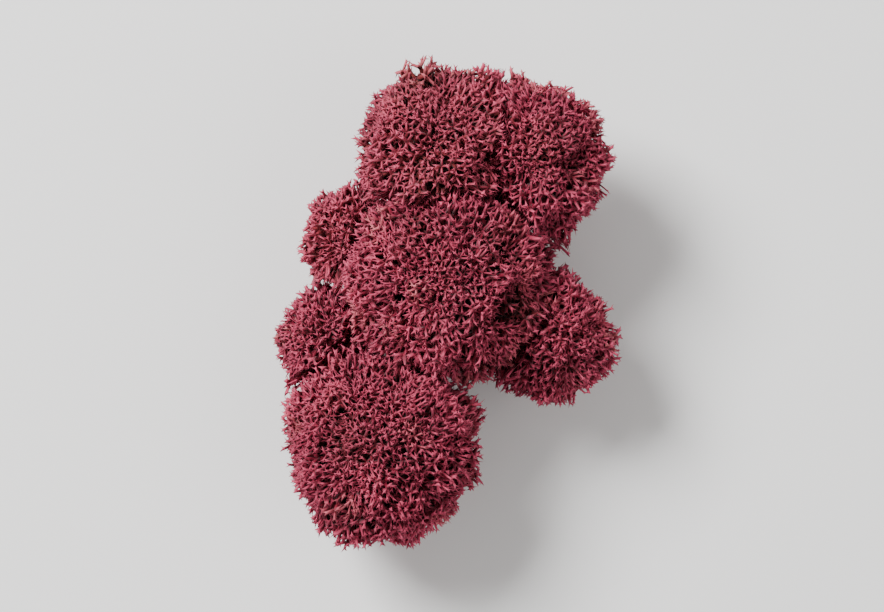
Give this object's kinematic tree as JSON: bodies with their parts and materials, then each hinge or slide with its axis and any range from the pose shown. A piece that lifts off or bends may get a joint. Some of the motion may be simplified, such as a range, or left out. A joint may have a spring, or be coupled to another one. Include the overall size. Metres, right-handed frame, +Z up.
{
  "type": "reindeer moss clump",
  "caption": "Wine-dyed preserved reindeer moss clump: rounded cushions of star-tipped lichen branchlets on short cut stalks, pressed side by side.",
  "frame": {"origin": "middle of the middle podetium's cut end, on the plane of all the cut ends", "axes": "+Z up from the cut ends to the heads; +X to the right of the picture; +Y to the top of the picture, away from the viewer"},
  "size_m": [0.0436, 0.0612, 0.0304],
  "materials": {
    "wine_lichen": "matte dyed lichen, dry and springy",
    "dusky_lichen": "matte lichen that took less of the dye"
  },
  "bodies": {
    "root": {"crown_podetium": "dusky_lichen", "shoulder_podetium": "wine_lichen", "middle_podetium": "wine_lichen", "front_podetium": "wine_lichen", "right_podetium": "wine_lichen", "left_knob_podetium": "wine_lichen", "upper_knob_podetium": "dusky_lichen"}
  },
  "joints": []
}
